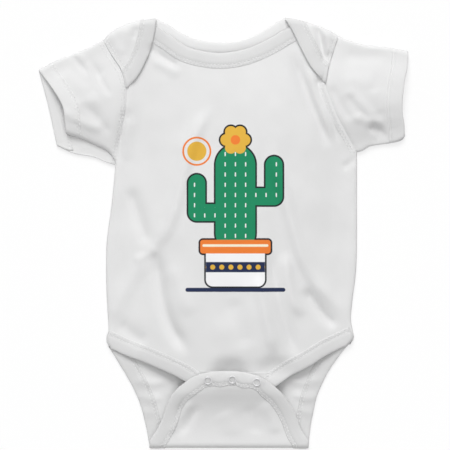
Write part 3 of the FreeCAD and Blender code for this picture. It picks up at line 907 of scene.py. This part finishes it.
def own_place():
    """The piece's own coordinates, in metres."""
    return Value.node("ShaderNodeTexCoord", "Object")


def axis_of(place, axis):
    """How far a place is along one axis, in millimetres."""
    return Value.node("ShaderNodeSeparateXYZ", axis, Vector=place) / MM


def speckle(place, scale, detail=2.0):
    return Value.node("ShaderNodeTexNoise", Vector=place, Scale=scale, Detail=detail)


def dress(surface, colour, height, strength, depth):
    """Gives a surface its colour and its fine relief."""
    relief = Value.node("ShaderNodeBump", Height=height, Strength=strength,
                        Distance=depth * MM)
    Value.join(surface.inputs["Base Color"], colour)
    Value.join(surface.inputs["Normal"], relief)


# Pitch of the jersey's wales and courses and of the binding's ribs, then what each adds to
# the relief
WALE_PITCH = 0.9
COURSE_PITCH = 0.7
RIB_PITCH = 1.3
KNIT_SHARE = 0.25
YARN_SHARE = 0.6
CLOTH_SHARE = 0.8
RIB_SHARE = 0.35
WHITE = grey(0.75)
SHADE = grey(0.69)

# Roughness of the plating where it is least worn, and what wear adds
LEAST_ROUGH = 0.28
WEAR = 0.25


def cotton(name, paint=None):
    """Jersey: fine wales up the cloth and courses across it, broken up a little."""
    material, surface = new_material(name, roughness=0.92)
    place = own_place()
    x = axis_of(place, "X")
    y = axis_of(place, "Y")
    colour = speckle(place, scale=30.0, detail=3.0).mixed(SHADE, WHITE)
    if paint is not None:
        colour = paint(colour, x, y)
    wales = (x * (math.tau / WALE_PITCH)).sine()
    courses = (y * (math.tau / COURSE_PITCH)).sine()
    height = wales * courses * KNIT_SHARE + speckle(place, scale=900.0) * YARN_SHARE
    height += speckle(place, scale=120.0) * CLOTH_SHARE
    dress(surface, colour, height, strength=0.35, depth=0.12)
    return material


def ribbed(name, shade, white):
    """Rib knit: fine ribs across the band, from its own run."""
    material, surface = new_material(name, roughness=0.9)
    place = own_place()
    along = axis_of(Value.node("ShaderNodeUVMap", settings={"uv_map": "run"}), "X")
    ribs = (along * (math.tau / RIB_PITCH)).sine()
    colour = speckle(place, scale=30.0, detail=3.0).mixed(shade, white)
    height = ribs * RIB_SHARE + speckle(place, scale=700.0)
    dress(surface, colour, height, strength=0.35, depth=0.12)
    return material


def spun(name, shade, colour):
    """Sewing thread: a fine twist, a little uneven in colour."""
    material, surface = new_material(name, roughness=0.7)
    twist = speckle(own_place(), scale=1600.0)
    dress(surface, twist.mixed(shade, colour), twist, strength=0.3, depth=0.1)
    return material


def plated(name, shade, colour):
    """Pale plated metal: satin, with faint wear in its gloss."""
    material, surface = new_material(name, roughness=0.4, metallic=0.25)
    place = own_place()
    wear = speckle(place, scale=260.0, detail=3.0)
    grain = speckle(place, scale=2400.0, detail=1.0)
    dress(surface, wear.mixed(shade, colour), grain, strength=0.15, depth=0.03)
    Value.join(surface.inputs["Roughness"], wear * WEAR + LEAST_ROUGH)
    return material


# The print, a potted cactus with a flower, in millimetres from its middle. A rod has two
# ends and a radius, a tile its middle, half sizes and corners, and a ball its middle and
# radius.
GREEN = (0.006, 0.235, 0.105, 1.0)
INK = (0.008, 0.010, 0.014, 1.0)
NAVY = (0.012, 0.022, 0.070, 1.0)
GOLD = (0.72, 0.42, 0.05, 1.0)
ORANGE = (0.80, 0.20, 0.03, 1.0)
CREAM = (0.86, 0.80, 0.62, 1.0)
PAPER = (0.84, 0.84, 0.85, 1.0)
PRINT_X = 10.5
PRINT_Y = 20.0
SOFTEN = 0.25
OUTLINE = 1.5
PLANT_RODS = [(0, -20, 0, 40, 17.5), (-16, -2, -34, -2, 7.5), (-34, -2, -34, 24, 7.5),
              (16, 12, 34, 12, 7.5), (34, 12, 34, 40, 7.5)]
PRICKLE_ROD = (0, -1.3, 0, 1.3, 0.5)
PRICKLE_PITCH = 9.0
PRICKLE_INSET = 3.0
GROUND_TILE = (0, -70, 44, 1.8, 1.8)
POT_TILE = (0, -50, 26, 17, 6)
STRIPE_TILE = (0, -50, 40, 4.5, 0.1)
RIM_TILE = (0, -32, 31, 6, 2.5)
RIM_LINE_TILE = (0, -31, 29, 1.1, 1.0)
DOT_BALL = (0, 0, 2.2)
DOT_PITCH = 8.0
SUN_BALL = (-34, 52, 8.5)
HALO_BALL = (-34, 52, 12.0)
HALO_HALF = 0.8
FLOWER_PLACE = (0, 62)
FLOWER_RADIUS = 5.5
HEART_RADIUS = 4.2
PETALS = 6
PETAL_REACH = 8
PETAL_RADIUS = 5.2


def ball(x, y, cx, cy, radius):
    return ((x - cx) * (x - cx) + (y - cy) * (y - cy)).root() - radius


def rod(x, y, ax, ay, bx, by, radius):
    """Distance from a thick line with round ends."""
    dx = bx - ax
    dy = by - ay
    share = (((x - ax) * dx + (y - ay) * dy) / (dx * dx + dy * dy)).limited()
    px = x - ax - share * dx
    py = y - ay - share * dy
    return (px * px + py * py).root() - radius


def tile(x, y, cx, cy, wide, high, corner):
    """Distance from a rectangle with rounded corners."""
    qx = abs(x - cx) - (wide - corner)
    qy = abs(y - cy) - (high - corner)
    ox = qx.most(0.0)
    oy = qy.most(0.0)
    return (ox * ox + oy * oy).root() + qx.most(qy).least(0.0) - corner


def joined(first, *others):
    """Shapes as one."""
    for other in others:
        first = first.least(other)
    return first


def within(shape):
    """1 inside a shape, 0 outside, soft across the edge."""
    return (shape * (-0.5 / SOFTEN) + 0.5).limited()


def repeat(value, pitch):
    return (value / pitch).fraction() * pitch - pitch / 2


def cactus_print(colour, x, y):
    """The print over a cloth's colour, laid on shape by shape."""
    x = x - PRINT_X
    y = y - PRINT_Y
    plant = joined(*(rod(x, y, *shape) for shape in PLANT_RODS))
    prickles = rod(repeat(x + PRICKLE_PITCH / 2, PRICKLE_PITCH), repeat(y, PRICKLE_PITCH),
                   *PRICKLE_ROD)
    pot = tile(x, y, *POT_TILE)
    dots = ball(repeat(x, DOT_PITCH), y - POT_TILE[1], *DOT_BALL)
    rim = tile(x, y, *RIM_TILE)
    flower = ball(x, y, *FLOWER_PLACE, FLOWER_RADIUS)
    for turn in range(PETALS):
        angle = math.tau * turn / PETALS
        flower = joined(flower, ball(x, y, FLOWER_PLACE[0] + PETAL_REACH * math.cos(angle),
                                     FLOWER_PLACE[1] + PETAL_REACH * math.sin(angle),
                                     PETAL_RADIUS))
    for shape, ink in ((tile(x, y, *GROUND_TILE), NAVY),
                       (ball(x, y, *SUN_BALL), GOLD),
                       (abs(ball(x, y, *HALO_BALL)) - HALO_HALF, ORANGE),
                       (joined(plant, pot, rim, flower) - OUTLINE, INK),
                       (plant, GREEN),
                       (prickles.most(plant + PRICKLE_INSET), PAPER),
                       (pot, PAPER),
                       (tile(x, y, *STRIPE_TILE).most(pot), NAVY),
                       (dots.most(pot), GOLD),
                       (rim, ORANGE),
                       (tile(x, y, *RIM_LINE_TILE), CREAM),
                       (flower, GOLD),
                       (ball(x, y, *FLOWER_PLACE, HEART_RADIUS), ORANGE)):
        colour = within(shape).mixed(colour, ink)
    return colour


jersey = cotton("cotton_jersey")
printed = cotton("printed_jersey", cactus_print)
# The binding's rib is darker than the jersey: partly its own tone, partly painted shade of its
# sloping faces
rib = ribbed("rib_binding", grey(0.62), grey(0.68))
# The back neck binding is the same rib, lightened: painted light that lifts it where it lies level
# and in shade
painted_light_rib = ribbed("painted_light_rib_binding", WHITE, grey(0.79))
# The thread is lighter than the cloth it runs on: partly its own white, partly painted light over
# the shade of its grooves
thread = spun("white_thread", grey(0.70), grey(0.82))
nickel = plated("satin_nickel", (0.70, 0.70, 0.71, 1.0), (0.78, 0.78, 0.79, 1.0))

upper = over_form(upper_level)
lap_form = over_form(lap_level)


def fill_slot(nodes):
    if nodes:
        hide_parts(*nodes)


def finish_piece(piece, body, slot, *nodes):
    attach(piece, body)
    fill_slot(nodes)


def across_fold(piece, slot, *nodes):
    """Cloth that runs round the crotch fold: its placing is baked into its mesh, and the part's
    pieces it stands for are hidden.
    """
    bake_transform(piece)
    fill_slot(nodes)


def sheet_area(faces, flat):
    """What a flat piece measures, in square metres."""
    a, b, c = (flat[[face[i] for face in faces]] for i in range(3))
    (east, north), (over, up) = (b - a).T, (c - a).T
    return np.sum(np.abs(east * up - north * over)) / 2 * MM * MM


# The front
SHOULDER_INSET = 3.0
left_front = chain(left_shoulder_shares)[1:] - (0, SHOULDER_INSET)
right_front = chain(right_shoulder_shares)[:3] - (0, SHOULDER_INSET)
front_loop = loop_of(left_front, chain(left_armhole_shares), chain(left_side_shares),
                     chain(front_leg_left_shares), chain(front_leg_right_shares),
                     chain(right_side_shares), chain(right_armhole_shares), right_front,
                     chain(front_neck_shares))
front_flat, front_faces = cut_flat(front_loop)
front = make_piece("front_cloth", *thick(front_flat, front_faces, upper, CLOTH), printed)
finish_piece(front, "garment", "cotton_jersey", "front_panel")

# The back, which runs round the fold and up as the flap, on one flat pattern
FOLD_LEFT = (-65.0, -64.6, -64.2)
FOLD_RIGHT = (74.8, 74.4, 74.2)
fold_rows = (ROLL_Y, ROLL_Y - ARC / 2, ROLL_Y - ARC)
edge_path = np.vstack([chain(back_leg_left_shares), list(zip(FOLD_LEFT, fold_rows)),
                       to_pattern(chain(flap_edge_shares)),
                       list(zip(FOLD_RIGHT, fold_rows))[::-1], chain(back_leg_right_shares)])
back_loop = loop_of(chain(left_shoulder_shares), chain(left_armhole_shares),
                    chain(left_side_shares), edge_path, chain(right_side_shares),
                    chain(right_armhole_shares), chain(right_shoulder_shares),
                    chain(back_neck_shares))
back_flat, back_faces = cut_flat(back_loop)
back = make_piece("back_cloth", *thick(back_flat, back_faces, pattern_form, CLOTH), jersey)
across_fold(back, "cotton_jersey", "back_panel", "crotch_flap")

# Bound edges; body_rows gathers the stitches of the body's pieces, as a form and its rows
BOUND_RISE = 0.92
HEM_RISE = 0.78
SEAM_RISE = 0.62
body_rows = []


def stitch_rows(path, rise, loop=None, rows=STITCH_ROWS):
    return [(path, row, rise, loop) for row in rows]


edge_run = run(edge_path)
around = band("seat_and_flap_binding", edge_run, bound_profile, pattern_form, rib, both=True)
across_fold(around, "rib_binding", "flap_binding")
for name, table, form, material, loop, node in (
        ("front_leg_binding_left", front_leg_left_shares, upper, rib, front_loop,
         "leg_binding_left"),
        ("front_leg_binding_right", front_leg_right_shares, upper, rib, front_loop,
         "leg_binding_right"),
        ("front_neck_binding_piece", front_neck_shares, upper, rib, front_loop,
         "front_neck_binding"),
        ("back_neck_binding_piece", back_neck_shares, back_form, painted_light_rib, back_loop,
         "back_neck_binding")):
    bound_run = run(chain(table))
    finish_piece(band(name, bound_run, bound_profile, form, material, clip=loop), "garment",
                 "rib_binding", node)
    body_rows.append((form, stitch_rows(bound_run, BOUND_RISE, loop)))

# The placket under the flap: a wider binding
PLACKET_WIDE = 23.0
placket_run = run([chain(front_leg_left_shares)[-1], chain(front_leg_right_shares)[0]])
placket_profile = [(s * PLACKET_WIDE / bound_profile[-1][0], t) for s, t in bound_profile]
placket = band("placket", placket_run, placket_profile, upper, rib)
finish_piece(placket, "garment", "rib_binding", "front_placket")

# Shoulder laps
LAP_SEAM_ROWS = (1.8, 3.9)


def shoulder_lap(side, table, arm, shoulder, turned):
    """The back's shoulder where it laps over the front, with its bound edge."""
    loop = loop_of(chain(table), chain(arm)[::turned], chain(shoulder)[::turned])
    flat, faces = cut_flat(loop, LAP_STEP)
    cloth = make_piece(f"shoulder_lap_{side}_cloth", *thick(flat, faces, lap_form, CLOTH),
                       jersey)
    finish_piece(cloth, "garment", "cotton_jersey", f"shoulder_lap_{side}")
    lap_run = run(chain(table)[::turned])
    binding = band(f"lap_binding_{side}_piece", lap_run, bound_profile, lap_form, rib,
                   clip=loop)
    finish_piece(binding, "garment", "rib_binding", f"lap_binding_{side}")
    body_rows.append((lap_form, stitch_rows(lap_run, BOUND_RISE, loop)))
    body_rows.append((lap_form, stitch_rows(run(chain(arm)), SEAM_RISE, loop, LAP_SEAM_ROWS)))
    return cloth, sheet_area(faces, flat)


laps = [
    shoulder_lap("left", left_lap_shares, left_armhole_shares[:4], left_shoulder_shares, -1),
    shoulder_lap("right", right_lap_shares, right_armhole_shares[4:], right_shoulder_shares, 1),
]


# Sleeves
def layered(*cuts):
    """Cloth in one piece, from its layers' outlines and forms, and what it measures."""
    corners = []
    skin = []
    area = 0.0
    for loop, form in cuts:
        flat, faces = cut_flat(loop, SLEEVE_STEP)
        points, shell = thick(flat, faces, form, CLOTH)
        skin += [tuple(len(corners) + i for i in face) for face in shell]
        corners += list(points)
        area += sheet_area(faces, flat)
    return corners, skin, area


def sleeve(side, armhole, top, mouths, unders, profile, turned):
    """An upper and an under layer, with a turned hem along each one's mouth."""
    upper_loop, lower_loop = (loop_of(chain(top), chain(mouth), chain(under),
                                      chain(armhole)[::-turned])
                              for mouth, under in zip(mouths, unders))
    corners, skin, area = layered((upper_loop, upper), (lower_loop, back_form))
    cloth = make_piece(f"sleeve_{side}_cloth", corners, skin, jersey)
    finish_piece(cloth, "garment", "cotton_jersey", f"sleeve_{side}")
    front_run, back_run = (run(chain(mouth)[::turned]) for mouth in mouths)
    hem_top = band(f"sleeve_hem_{side}_upper", front_run, profile, upper, jersey,
                   clip=upper_loop, pucker=HEM_PUCKER)
    hem_low = band(f"sleeve_hem_{side}_under", back_run, hem_profile, back_form, jersey,
                   clip=lower_loop)
    for hem in (hem_top, hem_low):
        finish_piece(hem, "garment", "cotton_jersey", f"sleeve_hem_{side}")
    if profile is not grooved_profile:
        body_rows.append((upper, stitch_rows(front_run, HEM_RISE, upper_loop)))
    body_rows.append((back_form, stitch_rows(back_run, HEM_RISE, lower_loop)))
    return cloth, area


# The right one's upper hem has a groove along its stitching line, with no thread drawn in it
sleeves = [
    sleeve("left", left_armhole_shares, left_sleeve_top_shares,
           (left_front_mouth_shares, left_back_mouth_shares),
           (left_front_under_shares, left_under_shares), hem_profile, 1),
    sleeve("right", right_armhole_shares, right_sleeve_top_shares,
           (right_mouth_shares, right_mouth_shares), (right_under_shares, right_under_shares),
           grooved_profile, -1),
]

# Stitching, also in twin rows beside each armhole's seam
SEAM_ROWS = (2.2, 4.4)
for table, side in ((left_armhole_shares, 1), (right_armhole_shares, -1)):
    seam_run = run(chain(table)[::-1])
    beside = [side * row for row in SEAM_ROWS]
    body_rows.append((upper, stitch_rows(seam_run, SEAM_RISE, rows=beside)))
for number, (form, rows) in enumerate(body_rows, start=1):
    finish_piece(stitches(f"stitching_{number}", rows, form, thread), "garment",
                 "cotton_jersey")
edge_rows = [(edge_run, row, rise * BOUND_RISE, None) for row in STITCH_ROWS
             for rise in (1, -1)]
flap_stitches = stitches("stitching_seat_and_flap", edge_rows, pattern_form, thread)
across_fold(flap_stitches, "cotton_jersey")

# Snaps: the part's studs stay; each socket gets a finer ring and body, made in place
SNAP_TILT = math.radians(10.51)
PLACKET_CLOTH = 2.0
SNAP_WIDE = 7.6
SNAP_BORE = 3.8
SOCKET_LOW = 1.4
SOCKET_TOP = 3.0
SOCKET_ROUND = 0.25
ROUND_STEPS = 3
RING_LEVEL = 5.8
RING_SHIFT = 0.8
RING_MIDDLE = 3.1
RING_THICK = 0.55
RING_FLAT = 0.75
RING_SIDES = 14
PRONGS = 5
PRONG_WIDE = 1.0
PRONG_SIDES = 12
BORE_SIDES = 40
ROUND_SIDES = 56
SHARP_ANGLE = math.radians(40)


def select_only(*pieces):
    bpy.ops.object.select_all(action="DESELECT")
    for piece in pieces:
        piece.select_set(True)


def upright(sides, wide, tall, x, y, z):
    """An upright cylinder, with its middle at a place."""
    bpy.ops.mesh.primitive_cylinder_add(vertices=sides, radius=wide / 2 * MM, depth=tall * MM,
                                        location=(x * MM, y * MM, z * MM))
    return bpy.context.view_layer.objects.active


def prong_ring():
    bpy.ops.mesh.primitive_torus_add(major_segments=ROUND_SIDES, minor_segments=RING_SIDES,
                                     major_radius=RING_MIDDLE * MM,
                                     minor_radius=RING_THICK * MM,
                                     location=(0, RING_SHIFT * MM, RING_LEVEL * MM))
    ring = bpy.context.view_layer.objects.active
    ring.scale.z = RING_FLAT
    return ring


def socket_body():
    tall = SOCKET_TOP - SOCKET_LOW
    socket = upright(ROUND_SIDES, SNAP_WIDE, tall, 0, 0, (SOCKET_TOP + SOCKET_LOW) / 2)
    bore = upright(BORE_SIDES, SNAP_BORE, tall, 0, 0, SOCKET_LOW)
    hollow = socket.modifiers.new("hollow", "BOOLEAN")
    hollow.operation = "DIFFERENCE"
    hollow.object = bore
    soften = socket.modifiers.new("soften", "BEVEL")
    soften.width = SOCKET_ROUND * MM
    soften.segments = ROUND_STEPS
    bpy.context.view_layer.objects.active = socket
    bpy.ops.object.modifier_apply(modifier="hollow")
    bpy.ops.object.modifier_apply(modifier="soften")
    bpy.data.objects.remove(bore)
    return socket


def prong(number):
    angle = math.tau * number / PRONGS
    return upright(PRONG_SIDES, PRONG_WIDE, RING_LEVEL - SOCKET_TOP,
                   RING_MIDDLE * math.cos(angle), RING_MIDDLE * math.sin(angle) + RING_SHIFT,
                   (SOCKET_TOP + RING_LEVEL) / 2)


def nickel_plated(piece):
    piece.data.materials.clear()
    piece.data.materials.append(nickel)


def snap_ring(number, x, y):
    """A prong ring on the flap's face, its prongs, and the socket under the cloth."""
    select_only()
    ring = prong_ring()
    socket = socket_body()
    select_only(ring, socket, *[prong(turn) for turn in range(PRONGS)])
    bpy.context.view_layer.objects.active = socket
    bpy.ops.object.join()
    bpy.ops.object.transform_apply(location=True, rotation=True, scale=True)
    socket.name = f"snap_ring_{number}"
    socket.rotation_euler.x = SNAP_TILT
    socket.location = (x * MM, y * MM, (float(lay(x, y)) + PLACKET_CLOTH) * MM)
    bpy.ops.object.transform_apply(location=True, rotation=True, scale=True)
    smooth(socket.data)
    bpy.ops.object.shade_smooth_by_angle(angle=SHARP_ANGLE)
    select_only()
    nickel_plated(socket)
    return socket


for number, spot in enumerate(snap_points, start=1):
    nickel_plated(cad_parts[f"snap_stud_{number}"])
    finish_piece(snap_ring(number, *spot), "flap", "snap_metal", f"snap_socket_{number}")

# What each cloth was cut to
sheets = [
    ((front, sheet_area(front_faces, front_flat)), (0.222, 0.346), "laid", ["back_cloth"]),
    ((back, sheet_area(back_faces, back_flat)), (0.222, 0.450), "folded", ["floor"]),
    (sleeves[0], (0.150, 0.120), "laid", ["floor"]),
    (sleeves[1], (0.150, 0.140), "laid", ["floor"]),
    (laps[0], (0.050, 0.065), "folded", ["front_cloth"]),
    (laps[1], (0.050, 0.060), "folded", ["front_cloth"]),
]

# The pale floor, lit softly from above
FLOOR_REACH = 1.5
FLOOR_DROP = 0.0002
FLOOR_GLOW = 0.65
FLOOR_TONE = grey(0.93)
floor_mesh = bpy.data.meshes.new("floor")
floor_mesh.from_pydata([(-FLOOR_REACH, -FLOOR_REACH, 0), (FLOOR_REACH, -FLOOR_REACH, 0),
                        (FLOOR_REACH, FLOOR_REACH, 0), (-FLOOR_REACH, FLOOR_REACH, 0)],
                       [], [(0, 1, 2, 3)])
floor = bpy.data.objects.new("floor", floor_mesh)
floor.location.z = -FLOOR_DROP
bpy.context.scene.collection.objects.link(floor)
floor_paint, floor_surface = new_material("floor_white", roughness=1.0)
floor_surface.inputs["Base Color"].default_value = FLOOR_TONE
glow = Value.node("ShaderNodeEmission", Color=grey(1.0), Strength=1.0)
seen = Value.node("ShaderNodeLightPath", "Is Camera Ray")
for kind in ("Is Glossy Ray", "Is Transmission Ray"):
    seen = seen.most(Value.node("ShaderNodeLightPath", kind))
lit_floor = Value.tree.nodes.new("ShaderNodeMixShader")
for target, wire in zip(lit_floor.inputs,
                        (seen * FLOOR_GLOW, Value(floor_surface.outputs[0]), glow)):
    Value.join(target, wire)
Value.join(Value.tree.nodes["Material Output"].inputs["Surface"], Value(lit_floor.outputs[0]))
floor_mesh.materials.append(floor_paint)

for (cloth, area), flat_size, held, rests in sheets:
    min(area, flat_size[0] * flat_size[1])

ROOM_LIGHT = 0.36
world = bpy.data.worlds.new("room")
bpy.context.scene.world = world
world.use_nodes = True
world.node_tree.nodes["Background"].inputs["Color"].default_value = grey(1.0)
world.node_tree.nodes["Background"].inputs["Strength"].default_value = ROOM_LIGHT

LAMP_HEIGHT = 1.5


def sunlight(name, tilt, heading, strength, softness):
    """Even light from a direction: tilt from straight above, heading round the compass."""
    lamp = bpy.data.lights.new(name, "SUN")
    lamp.energy = strength
    lamp.angle = math.radians(softness)
    lamp_object = bpy.data.objects.new(name, lamp)
    lamp_object.location = (0, 0, LAMP_HEIGHT)
    lamp_object.rotation_euler = (math.radians(tilt), 0, math.radians(heading))
    bpy.context.scene.collection.objects.link(lamp_object)


sunlight("overhead", tilt=6.0, heading=20.0, strength=0.85, softness=60.0)
sunlight("window", tilt=52.0, heading=186.0, strength=2.2, softness=34.0)

# The camera looks straight down through a long lens; all in metres but the sensor
CAMERA_PLACE = (0.00133, 0.00707, 4.0)
SEEN = 0.398
SENSOR = 36.0
FARTHEST = 20.0
camera = bpy.data.cameras.new("camera")
camera.sensor_width = SENSOR
camera.lens = SENSOR * CAMERA_PLACE[2] / SEEN
camera.clip_end = FARTHEST
camera_object = bpy.data.objects.new("camera", camera)
camera_object.location = CAMERA_PLACE
bpy.context.scene.collection.objects.link(camera_object)
bpy.context.scene.camera = camera_object
bpy.context.scene.view_settings.view_transform = "Standard"
